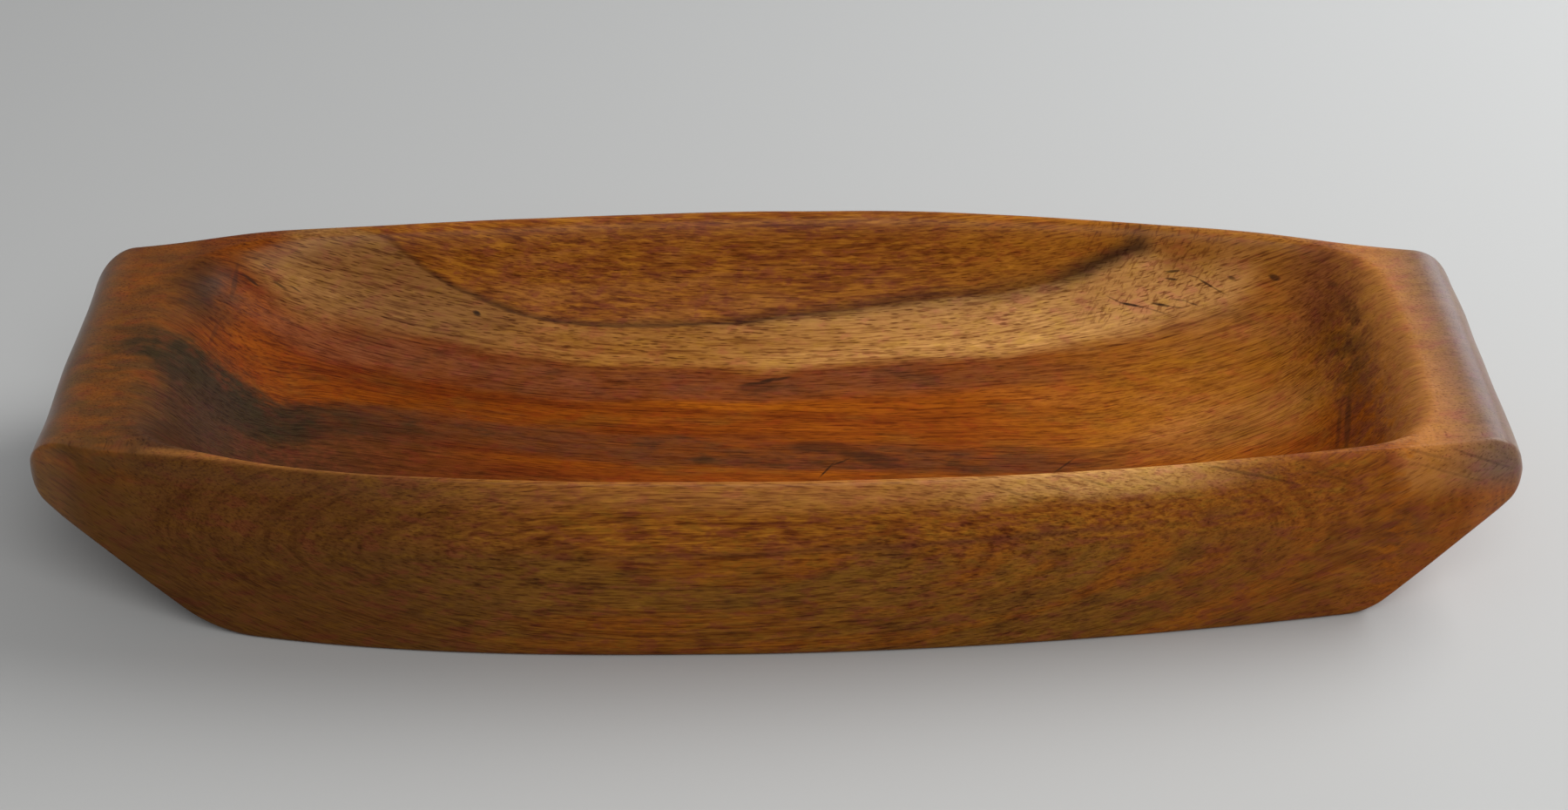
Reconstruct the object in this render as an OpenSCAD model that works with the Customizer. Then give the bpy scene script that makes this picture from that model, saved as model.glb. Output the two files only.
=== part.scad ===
// A long, low catchall tray, carved by hand from one block of hardwood.
// X runs along the tray, Y from its near side to its far side and Z up from the table.
// The origin lies on the table, under the middle of the tray. All sizes are in millimetres.
// The body is one skin over cross sections, each a closed loop of points at its own place along X.

/* [Block] */
// Overall length, from nose to nose
tray_len = 350; // [260:1:460]
// Overall breadth, across both bowed sides
tray_breadth = 132; // [110:1:180]
// Height of the rim at mid length
rim_height = 50; // [40:1:70]
// Height that the rim loses from the left nose to the right one
rim_fall = 3.6; // [0:0.1:8]

/* [Bowed sides] */
// Half breadth of the near side at the left nose
near_left = 42; // [34:0.5:52]
// Half breadth of the near side at the right nose
near_right = 45; // [34:0.5:52]
// Place along X where the near side is widest
near_widest = -13; // [-50:1:50]
// How late the near side turns in towards the left nose
near_left_turn = 2.8; // [1.6:0.05:3.2]
// How late the near side turns in towards the right nose
near_right_turn = 1.85; // [1.6:0.05:3.2]
// Half breadth of the far side at the left nose
far_left = 48.5; // [34:0.5:52]
// Half breadth of the far side at the right nose
far_right = 45; // [34:0.5:52]
// Place along X where the far side is widest
far_widest = 26; // [-50:1:50]
// How late the far side turns in towards the left nose
far_left_turn = 1.65; // [1.5:0.05:3.2]
// How late the far side turns in towards the right nose
far_right_turn = 1.6; // [1.5:0.05:3.2]
// Height of the widest line of both sides
belly_height = 30; // [18:0.5:34]
// How far each side draws in from its belly down to the table
side_tuck = 3; // [0:0.1:6]
// How far each side leans in from its belly up to the rim
side_lean = 1; // [0:0.1:1.5]

/* [Bull-nosed ends] */
// Radius of both noses
nose_round = 10; // [7:0.5:13]
// How far the left end land drops from the rim line to the nose
left_drop = 2.7; // [0:0.1:5]
// How far the right end land drops from the rim line to the nose
right_drop = 0.8; // [0:0.1:5]
// Slope of the undercut below the left nose, in degrees from level
left_undercut = 39.5; // [34:0.5:60]
// Slope of the undercut below the right nose, in degrees from level
right_undercut = 45; // [34:0.5:60]
// Radius where the left undercut meets the flat base
left_heel = 27; // [5:1:40]
// Radius where the right undercut meets the flat base
right_heel = 13; // [5:1:40]
// Radius in plan of the corners at the near ends of the noses
near_corner = 3; // [1:0.5:10]
// Radius in plan of the corner at the far end of the left nose
far_left_corner = 10; // [1:0.5:12]
// Radius in plan of the corner at the far end of the right nose
far_right_corner = 5; // [1:0.5:12]

/* [Arrises] */
// Breadth of the rounding along the near rim, at its left end
near_edge_left = 0.8; // [0.3:0.1:1.5]
// Breadth of the rounding along the near rim, at its right end
near_edge_right = 2.6; // [0.3:0.1:2.7]
// Depth of the rounding along the near rim, at its left end
near_edge_fall_left = 1.5; // [0.5:0.5:12]
// Depth of the rounding along the near rim, at its right end
near_edge_fall_right = 10; // [0.5:0.5:12]
// Radius of the rounding along the far rim, at its left end
far_edge_left = 3; // [1:0.1:4]
// Radius of the rounding along the far rim, at its right end
far_edge_right = 4.4; // [1:0.1:4.5]
// Radius of the rounding round the foot
foot_edge = 1.5; // [0.5:0.1:4]

/* [Hollow] */
// Thickness of wood under the deepest part of the hollow
floor_thick = 14; // [8:0.5:24]
// Thickness of the near wall from belly to hollow, at its left end
near_wall_left = 2.8; // [2.8:0.1:12]
// Thickness of the near wall from belly to hollow, at its right end
near_wall_right = 3.8; // [3.8:0.1:12]
// Thickness of the far wall from belly to hollow
far_wall = 6.5; // [6:0.1:14]
// Length of the end land from the left nose to the hollow
left_land = 26.5; // [20:0.5:50]
// Length of the end land from the right nose to the hollow
right_land = 25.5; // [20:0.5:50]
// Share of the depth that lies in the steep walls, the rest being the slow dish of the floor
wall_share = 0.75; // [0.5:0.01:0.95]
// How much more upright the right end wall stands than the left one
right_steepness = 2; // [1:0.1:3]
// How square the hollow's corners are in plan
corner_squareness = 1.6; // [1.2:0.1:3]
// Softness of the hollow's near arris
near_softness = 3; // [0.5:0.5:4]
// Softness of the hollow's far arris
far_softness = 7; // [0.5:0.5:9]
// Softness of the hollow's arris at the left end land
left_softness = 14; // [0.5:0.5:20]
// Softness of the hollow's arris at the right end land
right_softness = 22; // [0.5:0.5:30]

/* [Hidden] */

half_len = tray_len / 2;
half_breadth = tray_breadth / 2;

// Angle at which each nose ends in a small upright flat, instead of in a knife edge
nose_end = 80;
nose_x = half_len - nose_round * sin(nose_end);
// Length over which an end land falls from the rim line to the top of its nose
land_run = 40;
// Powers of the wall and of the floor in the hollow's shape, and of the side's lean and tuck
wall_power = 6;
floor_power = 2.2;
lean_power = 1.15;
// Largest part of a thin section's height that one rounding may take
edge_share = 0.42;

hollow_from = -half_len + left_land;
hollow_to = half_len - right_land;
hollow_mid = (hollow_from + hollow_to) / 2;
hollow_half = (hollow_to - hollow_from) / 2;

// Steps of the skin round each nose, along each end land, down each end wall and its foot, along the
// middle, across half of the hollow, up each half of a side, and round each arris
nose_steps = 8;
land_steps = 3;
end_wall_steps = 10;
end_foot_steps = 8;
middle_steps = 22;
hollow_steps = 12;
wall_steps = 3;
arc_steps = 3;
// Lengths of each end wall and of its foot, as far as the skin has close sections there
end_wall_run = 17;
end_foot_run = 30;
// Smallest breadth of land between the rounding of a rim and the skin's lines across the hollow
line_gap = 0.6;

function mix(a, b, t) = a + (b - a) * t;
function ramp(t) = let (c = min(max(t, 0), 1)) c * c * (3 - 2 * c);
function along(x) = (x + half_len) / tray_len;
function soft_min(a, b, k) = min(a, b) - pow(max(k - abs(a - b), 0), 2) / (4 * k);

// Plan: half breadth at the belly, on the near side (side = -1) and the far side (side = 1)
function bow(x, widest, at_left, at_right, left_turn, right_turn) =
    x < widest
    ? mix(half_breadth, at_left, pow((widest - x) / (widest + half_len), left_turn))
    : mix(half_breadth, at_right, pow((x - widest) / (half_len - widest), right_turn));
function side_bow(x, side) =
    side < 0
    ? bow(x, near_widest, near_left, near_right, near_left_turn, near_right_turn)
    : bow(x, far_widest, far_left, far_right, far_left_turn, far_right_turn);
function corner_cut(x, radius) =
    let (over = max(radius - (half_len - abs(x)), 0)) radius - sqrt(radius * radius - over * over);
function belly(x, side) =
    let (radius = side < 0 ? near_corner : x < 0 ? far_left_corner : far_right_corner)
    side_bow(x, side) - corner_cut(x, radius);

// Side elevation: the rim line, the noses, and the underside with its heels and undercuts
function rim_line(x) = rim_height + rim_fall * (0.5 - along(x));
function nose_top(x) = x < 0 ? rim_line(-nose_x) - left_drop : rim_line(nose_x) - right_drop;
function nose_z(x) = nose_top(x) - nose_round;
function nose_rise(x) = sqrt(max(nose_round * nose_round - pow(abs(x) - nose_x, 2), 0));
function top_z(x) =
    abs(x) > nose_x
    ? nose_z(x) + nose_rise(x)
    : mix(rim_line(x), nose_top(x), ramp(1 - (nose_x - abs(x)) / land_run));
function undercut(x) = x < 0 ? left_undercut : right_undercut;
function slope_end(x) = [nose_x + nose_round * sin(undercut(x)), nose_z(x) - nose_round * cos(undercut(x))];
function slope_foot(x) = slope_end(x)[0] - slope_end(x)[1] / tan(undercut(x));
function heel(x) =
    let (slope_run = slope_end(x)[1] / sin(undercut(x)))
    min(x < 0 ? left_heel : right_heel, 0.95 * slope_run / tan(undercut(x) / 2));
function heel_run(x) = heel(x) * tan(undercut(x) / 2);
function base_z(x) =
    let (ax = abs(x), start = slope_foot(x) - heel_run(x))
    ax > slope_end(x)[0] ? nose_z(x) - nose_rise(x)
    : ax > slope_foot(x) + heel_run(x) * cos(undercut(x)) ? (ax - slope_foot(x)) * tan(undercut(x))
    : ax > start ? heel(x) - sqrt(pow(heel(x), 2) - pow(ax - start, 2))
    : 0;

// Section: how far a side stands in from its belly at height z, and its rounded arrises
function draw_in(z) =
    z < belly_height
    ? side_tuck * pow(max(belly_height - z, 0) / belly_height, lean_power)
    : side_lean * pow(min((z - belly_height) / (rim_height - belly_height), 1), lean_power);
function side_y(x, z, side) = side * (belly(x, side) - draw_in(z));
function edge_breadth(x, side) =
    side < 0
    ? mix(near_edge_left, near_edge_right, along(x))
    : mix(far_edge_left, far_edge_right, along(x));
function edge_fall(x, side) =
    min(side < 0 ? mix(near_edge_fall_left, near_edge_fall_right, along(x)) : edge_breadth(x, side),
        edge_share * (top_z(x) - base_z(x)));
function foot(x) = min(foot_edge, edge_share * (top_z(x) - base_z(x)));
function rim_edge(x, side) =
    side_y(x, top_z(x) - edge_fall(x, side), side) - side * edge_breadth(x, side);

// Hollow: the line of its arris at rim height, and its height at any point
function arris(x, side) =
    side * (side_bow(x, side) - (side < 0 ? mix(near_wall_left, near_wall_right, along(x)) : far_wall));
function bowl(t) = mix(pow(t, floor_power), pow(t, wall_power), wall_share);
function end_bowl(x) =
    let (t = abs(x - hollow_mid) / hollow_half)
    bowl(x < hollow_mid ? t : pow(t, right_steepness));
function side_bowl(x, y) =
    let (middle = (arris(x, 1) + arris(x, -1)) / 2, half = (arris(x, 1) - arris(x, -1)) / 2)
    bowl(abs(y - middle) / half);
function hollow_z(x, y) =
    let (depth_share = pow(pow(end_bowl(x), corner_squareness) + pow(side_bowl(x, y), corner_squareness),
                           1 / corner_squareness))
    mix(floor_thick, rim_line(x), depth_share);
function softness(x, y) =
    let (across = (y - arris(x, -1)) / (arris(x, 1) - arris(x, -1)),
         endwise = end_bowl(x) / max(end_bowl(x) + side_bowl(x, y), 0.000001),
         end_softness = x < hollow_mid ? left_softness : right_softness)
    mix(mix(near_softness, far_softness, across), end_softness, pow(endwise, 2));
function carved_z(x, y, z) = soft_min(z, hollow_z(x, y), softness(x, y));

// One side of a section, from the foot up to the edge of the rim
function side_line(x, side) =
    let (low = base_z(x) + foot(x), high = top_z(x) - edge_fall(x, side),
         waist = min(max(belly_height, mix(low, high, 0.2)), mix(low, high, 0.8)))
    concat(
        [for (k = [0 : arc_steps])
            let (a = 90 * k / arc_steps, z = low - foot(x) * cos(a))
            [side_y(x, low, side) - side * foot(x) * (1 - sin(a)), z]],
        [for (k = [1 : wall_steps]) let (z = mix(low, waist, k / wall_steps)) [side_y(x, z, side), z]],
        [for (k = [1 : wall_steps]) let (z = mix(waist, high, k / wall_steps)) [side_y(x, z, side), z]],
        [for (k = [1 : arc_steps])
            let (a = 90 * k / arc_steps,
                 y = side_y(x, high, side) - side * edge_breadth(x, side) * (1 - cos(a)))
            [y, carved_z(x, y, high + edge_fall(x, side) * sin(a))]]);

// The top of a section, from the near land through the hollow to the far land
function last_line(x, side) = side * min(abs(arris(x, side)), abs(rim_edge(x, side)) - line_gap);
function hollow_y(x, t) = mix(last_line(x, -1), last_line(x, 1), 0.5 + 0.5 * t);
function top_line(x) =
    let (ys = concat(
        [mix(rim_edge(x, -1), hollow_y(x, -1), 0.5)],
        [for (k = [-hollow_steps : hollow_steps]) hollow_y(x, sin(90 * k / hollow_steps))],
        [mix(rim_edge(x, 1), hollow_y(x, 1), 0.5)]))
    [for (y = ys) [y, carved_z(x, y, top_z(x))]];

function reversed(list) = [for (k = [len(list) - 1 : -1 : 0]) list[k]];
function section(x) =
    [for (p = concat(side_line(x, -1), top_line(x), reversed(side_line(x, 1)))) [x, p[0], p[1]]];

// Places of the sections, closest together round the noses and on the hollow's end walls
function stretch(from, to, steps) = [for (k = [1 : steps]) mix(from, to, k / steps)];
function nose_places() =
    [for (k = [0 : nose_steps]) nose_x + nose_round * sin(nose_end * (1 - k / nose_steps))];
function end_places(inner) =
    concat(nose_places(),
           stretch(nose_x, inner, land_steps),
           stretch(inner, inner - end_wall_run, end_wall_steps),
           stretch(inner - end_wall_run, inner - end_wall_run - end_foot_run, end_foot_steps));
left_places = -1 * end_places(-hollow_from);
right_places = reversed(end_places(hollow_to));
middle_places = stretch(left_places[len(left_places) - 1], right_places[0], middle_steps - 1);
places = concat(left_places, [for (k = [0 : middle_steps - 3]) middle_places[k]], right_places);

// Skins a row of closed loops, each with the same number of points, and caps both ends. The diagonal of
// each face runs the other way in the next quarter, so that it follows the hollow's corners in all four.
module loft(loops) {
    n = len(loops[0]);
    last = len(loops) - 1;
    polyhedron(
        points = [for (loop = loops, p = loop) p],
        faces = concat(
            [[for (k = [n - 1 : -1 : 0]) k]],
            [for (i = [0 : last - 1], k = [0 : n - 1])
                let (a = i * n + k, b = i * n + (k + 1) % n)
                each (i < last / 2) == (k < n / 2)
                    ? [[a, b, a + n], [b, b + n, a + n]]
                    : [[a, b, b + n], [a, b + n, a + n]]],
            [[for (k = [0 : n - 1]) last * n + k]]));
}

module tray_body() {
    color("peru") loft([for (x = places) section(x)]);
}

tray_body();
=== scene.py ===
# A hand-carved catchall tray of oiled hardwood on a pale floor, under soft studio light.
# Lengths are in millimetres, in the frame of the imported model, and turn into metres where Blender gets them.

import math

import bpy
import numpy as np
from mathutils import Matrix, Vector


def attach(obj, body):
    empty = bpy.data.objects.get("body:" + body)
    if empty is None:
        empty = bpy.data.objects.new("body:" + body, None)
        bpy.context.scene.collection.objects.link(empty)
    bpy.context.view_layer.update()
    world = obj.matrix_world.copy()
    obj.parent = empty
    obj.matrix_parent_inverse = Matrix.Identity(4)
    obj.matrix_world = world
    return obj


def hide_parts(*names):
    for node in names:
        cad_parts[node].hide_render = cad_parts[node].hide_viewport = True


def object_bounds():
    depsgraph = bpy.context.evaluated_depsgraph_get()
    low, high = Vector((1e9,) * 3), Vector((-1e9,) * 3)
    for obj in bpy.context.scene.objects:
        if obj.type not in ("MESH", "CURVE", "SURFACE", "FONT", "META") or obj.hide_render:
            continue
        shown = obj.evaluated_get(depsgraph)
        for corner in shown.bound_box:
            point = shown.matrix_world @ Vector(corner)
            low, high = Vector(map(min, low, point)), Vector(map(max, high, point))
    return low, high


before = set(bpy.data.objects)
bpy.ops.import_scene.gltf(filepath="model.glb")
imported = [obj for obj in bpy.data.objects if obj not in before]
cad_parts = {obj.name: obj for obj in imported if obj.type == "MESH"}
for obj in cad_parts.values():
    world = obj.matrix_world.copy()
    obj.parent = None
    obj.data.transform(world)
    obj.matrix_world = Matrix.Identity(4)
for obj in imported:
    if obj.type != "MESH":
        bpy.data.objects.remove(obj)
packed_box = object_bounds()

MM = 0.001
low_corner, high_corner = [np.array(corner) / MM for corner in packed_box]


# The tray's sizes, the same as the part's, apart from NOSE_END, which is finer here

HALF_LENGTH = (high_corner[0] - low_corner[0]) / 2
HALF_BREADTH = (high_corner[1] - low_corner[1]) / 2
RIM_HEIGHT = 50.0
RIM_FALL = 3.6

# Bowed sides: half breadth at both noses, the widest place, and how late each half turns in
NEAR_BOW = dict(left=42.0, right=45.0, widest=-13.0, left_turn=2.8, right_turn=1.85)
FAR_BOW = dict(left=48.5, right=45.0, widest=26.0, left_turn=1.65, right_turn=1.6)
BELLY_HEIGHT = 30.0
SIDE_TUCK = 3.0
SIDE_LEAN = 1.0
LEAN_POWER = 1.15

# Bull-nosed ends, left and right
NOSE_ROUND = 10.0
NOSE_END = math.radians(88)
NOSE_X = HALF_LENGTH - NOSE_ROUND * math.sin(NOSE_END)
NOSE_DROP = (2.7, 0.8)
UNDERCUT = (math.radians(39.5), math.radians(45))
HEEL = (27.0, 13.0)
NEAR_CORNER = (3.0, 3.0)
FAR_CORNER = (10.0, 5.0)
LAND_RUN = 40.0

# Arrises, at the left end and the right one
NEAR_EDGE = (0.8, 2.6)
NEAR_EDGE_FALL = (1.5, 10.0)
FAR_EDGE = (3.0, 4.4)
FOOT_EDGE = 1.5
EDGE_SHARE = 0.42

# Hollow
FLOOR_THICK = 14.0
NEAR_WALL = (2.8, 3.8)
FAR_WALL = 6.5
HOLLOW_FROM = -HALF_LENGTH + 26.5
HOLLOW_TO = HALF_LENGTH - 25.5
HOLLOW_MID = (HOLLOW_FROM + HOLLOW_TO) / 2
HOLLOW_HALF = (HOLLOW_TO - HOLLOW_FROM) / 2
WALL_SHARE = 0.75
WALL_POWER = 6.0
FLOOR_POWER = 2.2
RIGHT_STEEPNESS = 2.0
CORNER_SQUARENESS = 1.6
NEAR_SOFTNESS = 3.0
FAR_SOFTNESS = 7.0
END_SOFTNESS = (14.0, 22.0)
LINE_GAP = 0.6


def mix(a, b, share):
    return a + (b - a) * share


def smooth(share):
    share = np.clip(share, 0, 1)
    return share * share * (3 - 2 * share)


def lengthwise(pair, x):
    """A size that changes evenly from the left nose to the right one."""
    return mix(pair[0], pair[1], (x + HALF_LENGTH) / (2 * HALF_LENGTH))


def at_end(pair, x):
    """The value for the end of the tray that x is on."""
    return np.where(x < 0, pair[0], pair[1])


def bow(x, shape):
    left = np.clip((shape["widest"] - x) / (shape["widest"] + HALF_LENGTH), 0, None)
    right = np.clip((x - shape["widest"]) / (HALF_LENGTH - shape["widest"]), 0, None)
    turned_left = mix(HALF_BREADTH, shape["left"], left ** shape["left_turn"])
    turned_right = mix(HALF_BREADTH, shape["right"], right ** shape["right_turn"])
    return np.where(x < shape["widest"], turned_left, turned_right)


def side_bow(x, side):
    return bow(x, NEAR_BOW if side < 0 else FAR_BOW)


def belly(x, side):
    radius = at_end(NEAR_CORNER if side < 0 else FAR_CORNER, x)
    over = np.clip(radius - (HALF_LENGTH - np.abs(x)), 0, radius)
    return side_bow(x, side) - (radius - np.sqrt(radius**2 - over**2))


def rim_line(x):
    return RIM_HEIGHT + RIM_FALL * (0.5 - (x + HALF_LENGTH) / (2 * HALF_LENGTH))


def nose_top(x):
    return rim_line(np.where(x < 0, -NOSE_X, NOSE_X)) - at_end(NOSE_DROP, x)


def nose_rise(x):
    return np.sqrt(np.clip(NOSE_ROUND**2 - (np.abs(x) - NOSE_X) ** 2, 0, None))


def top_z(x):
    land = mix(rim_line(x), nose_top(x), smooth(1 - (NOSE_X - np.abs(x)) / LAND_RUN))
    return np.where(np.abs(x) > NOSE_X, nose_top(x) - NOSE_ROUND + nose_rise(x), land)


def base_z(x):
    """The underside: flat, then a heel, the undercut slope and the lower half of the nose."""
    out = np.abs(x)
    slope = at_end(UNDERCUT, x)
    heel = at_end(HEEL, x)
    nose_z = nose_top(x) - NOSE_ROUND
    slope_x = NOSE_X + NOSE_ROUND * np.sin(slope)
    slope_z = nose_z - NOSE_ROUND * np.cos(slope)
    foot_x = slope_x - slope_z / np.tan(slope)
    heel_run = heel * np.tan(slope / 2)
    start = foot_x - heel_run
    heel_z = heel - np.sqrt(np.clip(heel**2 - np.clip(out - start, 0, None) ** 2, 0, None))
    return np.where(
        out > slope_x,
        nose_z - nose_rise(x),
        np.where(out > foot_x + heel_run * np.cos(slope), (out - foot_x) * np.tan(slope), heel_z),
    )


def side_y(x, z, side):
    tuck = SIDE_TUCK * (np.clip(BELLY_HEIGHT - z, 0, None) / BELLY_HEIGHT) ** LEAN_POWER
    rise = np.clip((z - BELLY_HEIGHT) / (RIM_HEIGHT - BELLY_HEIGHT), 0, 1)
    return side * (belly(x, side) - tuck - SIDE_LEAN * rise**LEAN_POWER)


def edge_breadth(x, side):
    return lengthwise(NEAR_EDGE if side < 0 else FAR_EDGE, x)


def edge_fall(x, side):
    wanted = lengthwise(NEAR_EDGE_FALL if side < 0 else FAR_EDGE, x)
    return np.minimum(wanted, EDGE_SHARE * (top_z(x) - base_z(x)))


def foot(x):
    return np.minimum(FOOT_EDGE, EDGE_SHARE * (top_z(x) - base_z(x)))


def rim_edge(x, side):
    return side_y(x, top_z(x) - edge_fall(x, side), side) - side * edge_breadth(x, side)


def arris(x, side):
    wall = lengthwise(NEAR_WALL, x) if side < 0 else FAR_WALL
    return side * (side_bow(x, side) - wall)


def bowl(t):
    return mix(t**FLOOR_POWER, t**WALL_POWER, WALL_SHARE)


def end_bowl(x):
    t = np.abs(x - HOLLOW_MID) / HOLLOW_HALF
    return bowl(np.where(x < HOLLOW_MID, t, t**RIGHT_STEEPNESS))


def side_bowl(x, y):
    middle = (arris(x, 1) + arris(x, -1)) / 2
    half = (arris(x, 1) - arris(x, -1)) / 2
    return bowl(np.abs(y - middle) / half)


def hollow_z(x, y):
    depth_share = (end_bowl(x) ** CORNER_SQUARENESS + side_bowl(x, y) ** CORNER_SQUARENESS) ** (
        1 / CORNER_SQUARENESS
    )
    return mix(FLOOR_THICK, rim_line(x), depth_share)


def carved_z(x, y, z):
    """Height z, carved away by the hollow, with a soft arris where the two meet."""
    across = (y - arris(x, -1)) / (arris(x, 1) - arris(x, -1))
    endwise = (end_bowl(x) / np.maximum(end_bowl(x) + side_bowl(x, y), 1e-6)) ** 2
    end_softness = np.where(x < HOLLOW_MID, END_SOFTNESS[0], END_SOFTNESS[1])
    softness = mix(mix(NEAR_SOFTNESS, FAR_SOFTNESS, across), end_softness, endwise)
    hollow = hollow_z(x, y)
    return np.minimum(z, hollow) - np.clip(softness - np.abs(z - hollow), 0, None) ** 2 / (4 * softness)


# The body's mesh: rows of points round the cross sections, much closer than the part's own

NOSE_ROWS = 16
LAND_ROWS = 16
WALL_ROWS = 34
FOOT_ROWS = 30
MIDDLE_ROWS = 170
WALL_RUN = 22.0
FOOT_RUN = 32.0
HOLLOW_LINES = 56
RIM_LINES = 8
FOOT_LINES = 4
SIDE_LINES = 12
BASE_LINES = 26


def spread(start, end, steps):
    """Evenly spaced places after start, up to end."""
    return [mix(start, end, k / steps) for k in range(1, steps + 1)]


def end_places(inner):
    nose = [NOSE_X + NOSE_ROUND * math.sin(NOSE_END * (1 - k / NOSE_ROWS)) for k in range(NOSE_ROWS + 1)]
    wall_foot = inner - WALL_RUN
    return (
        nose
        + spread(NOSE_X, inner, LAND_ROWS)
        + spread(inner, wall_foot, WALL_ROWS)
        + spread(wall_foot, wall_foot - FOOT_RUN, FOOT_ROWS)
    )


def row_places():
    left = [-place for place in end_places(-HOLLOW_FROM)]
    right = end_places(HOLLOW_TO)[::-1]
    return np.array(left + spread(left[-1], right[0], MIDDLE_ROWS)[:-1] + right)[:, None]


def side_points(x, side):
    """Points of one side, from its foot up to the edge of the rim."""
    low = base_z(x) + foot(x)
    high = top_z(x) - edge_fall(x, side)
    waist = np.minimum(np.maximum(BELLY_HEIGHT, mix(low, high, 0.2)), mix(low, high, 0.8))
    points = []
    for k in range(FOOT_LINES + 1):
        turn = math.pi / 2 * k / FOOT_LINES
        y = side_y(x, low, side) - side * foot(x) * (1 - math.sin(turn))
        points.append((y, low - foot(x) * math.cos(turn)))
    for start, end in ((low, waist), (waist, high)):
        for z in spread(start, end, SIDE_LINES):
            points.append((side_y(x, z, side), z))
    for k in range(1, RIM_LINES + 1):
        turn = math.pi / 2 * k / RIM_LINES
        y = side_y(x, high, side) - side * edge_breadth(x, side) * (1 - math.cos(turn))
        points.append((y, carved_z(x, y, high + edge_fall(x, side) * math.sin(turn))))
    return points


def last_line(x, side):
    return side * np.minimum(np.abs(arris(x, side)), np.abs(rim_edge(x, side)) - LINE_GAP)


def top_points(x):
    """Points across the top, closest together on the walls of the hollow."""
    places = [mix(rim_edge(x, -1), last_line(x, -1), 0.5)]
    for k in range(-HOLLOW_LINES, HOLLOW_LINES + 1):
        even = k / HOLLOW_LINES
        share = mix(even, math.sin(math.pi / 2 * even), 0.7)
        places.append(mix(last_line(x, -1), last_line(x, 1), 0.5 + 0.5 * share))
    places.append(mix(rim_edge(x, 1), last_line(x, 1), 0.5))
    return [(y, carved_z(x, y, top_z(x))) for y in places]


def base_points(x, near_foot, far_foot):
    """Points back across the underside, from the far foot to the near one."""
    return [(mix(far_foot[0], near_foot[0], k / BASE_LINES), base_z(x)) for k in range(1, BASE_LINES)]


def body_points():
    """The body's skin, as rows (along X) of closed loops of points."""
    x = row_places()
    near = side_points(x, -1)
    far = side_points(x, 1)
    loop = near + top_points(x) + far[::-1] + base_points(x, near[0], far[0])
    y = np.concatenate([point[0] for point in loop], axis=1)
    z = np.concatenate([point[1] for point in loop], axis=1)
    return np.stack([np.broadcast_to(x, y.shape), y, z], axis=-1)


# Small marks in the hollow: from one place (X, Y) to another, half breadth, darkness
MARKS = [
    # Pin hole, and the dashes on the pale patch at the left
    (-78.2, 44.1, -77.6, 44.0, 0.6, 0.95),
    (-136.0, 38.9, -133.4, 38.5, 0.45, 0.8),
    (-131.6, 42.4, -129.8, 42.2, 0.3, 0.6),
    (-128.9, 40.6, -126.4, 40.4, 0.35, 0.8),
    (-124.6, 41.2, -122.9, 41.0, 0.25, 0.6),
    (-138.0, 39.2, -138.7, 33.0, 0.7, 0.55),
    (-140.4, 21.0, -140.8, 11.0, 0.5, 0.35),
    (-126.6, 34.2, -125.6, 34.6, 0.6, 0.3),
    # Tear-outs where the grain turns, at the right of the golden band
    (87.6, 47.3, 91.0, 46.2, 0.16, 0.7),
    (91.0, 46.2, 96.0, 45.2, 0.3, 1.0),
    (96.6, 45.1, 102.2, 43.5, 0.18, 0.45),
    (99.2, 45.3, 103.0, 44.5, 0.3, 0.95),
    (103.4, 44.4, 106.5, 43.8, 0.16, 0.6),
    (104.2, 45.3, 107.6, 44.6, 0.18, 0.65),
    (107.9, 44.4, 110.2, 43.7, 0.2, 0.7),
    (111.2, 46.5, 114.0, 45.4, 0.28, 0.95),
    (114.2, 45.3, 117.4, 44.0, 0.17, 0.6),
    (102.6, 48.6, 105.4, 48.3, 0.3, 0.85),
    (102.6, 47.9, 104.8, 47.5, 0.28, 0.85),
    (108.4, 47.4, 110.4, 46.9, 0.18, 0.6),
    # Knots and spots at the right
    (118.6, 45.6, 119.6, 45.3, 0.45, 0.7),
    (129.2, 43.8, 130.4, 43.4, 0.7, 0.95),
    (143.0, 37.4, 144.2, 36.2, 0.6, 0.4),
    (133.2, 7.0, 134.4, 4.5, 0.3, 0.35),
    # Dark streaks at the foot of the right wall
    (141.5, -4.0, 138.2, -21.0, 0.9, 0.55),
    (139.2, -6.0, 136.2, -20.0, 0.6, 0.4),
    (145.5, 30.0, 146.8, 22.0, 1.8, 0.35),
    # Cracks in the floor
    (11.1, -9.0, 14.1, -3.4, 0.26, 0.9),
    (13.9, -4.2, 18.5, -1.0, 0.24, 0.85),
    (69.7, -7.7, 74.3, -2.7, 0.25, 0.8),
    # Smudge on the far band
    (-8.6, 29.5, -3.5, 30.4, 0.6, 0.85),
    (-4.4, 30.2, -0.4, 31.7, 0.65, 0.85),
    (-0.5, 31.3, 3.3, 32.3, 0.45, 0.7),
    (-8.0, 28.4, 0.5, 29.2, 1.5, 0.5),
    # Smoky spots along the near band
    (6.0, 4.6, 16.0, 3.6, 2.2, 0.6),
    (17.0, 2.0, 28.0, -3.0, 2.4, 0.65),
]

# Dark strokes that slant down the near rim, as places along X and up Z: from, to, half breadth, darkness
STROKES = [
    (50.0, 47.2, 59.0, 43.4, 0.28, 0.3),
    (59.0, 47.6, 67.5, 44.4, 0.28, 0.3),
    (68.5, 48.2, 77.0, 45.0, 0.25, 0.3),
    (82.0, 47.4, 90.0, 44.6, 0.3, 0.25),
    (100.0, 48.2, 113.0, 44.6, 0.3, 0.5),
    (107.0, 46.6, 118.6, 42.6, 0.3, 0.45),
    (121.0, 45.6, 131.0, 42.0, 0.3, 0.25),
    (146.0, 47.6, 157.0, 43.8, 0.3, 0.25),
    (158.0, 46.0, 171.0, 40.2, 0.3, 0.35),
    (149.0, 43.8, 163.0, 38.0, 0.3, 0.25),
]


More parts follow.
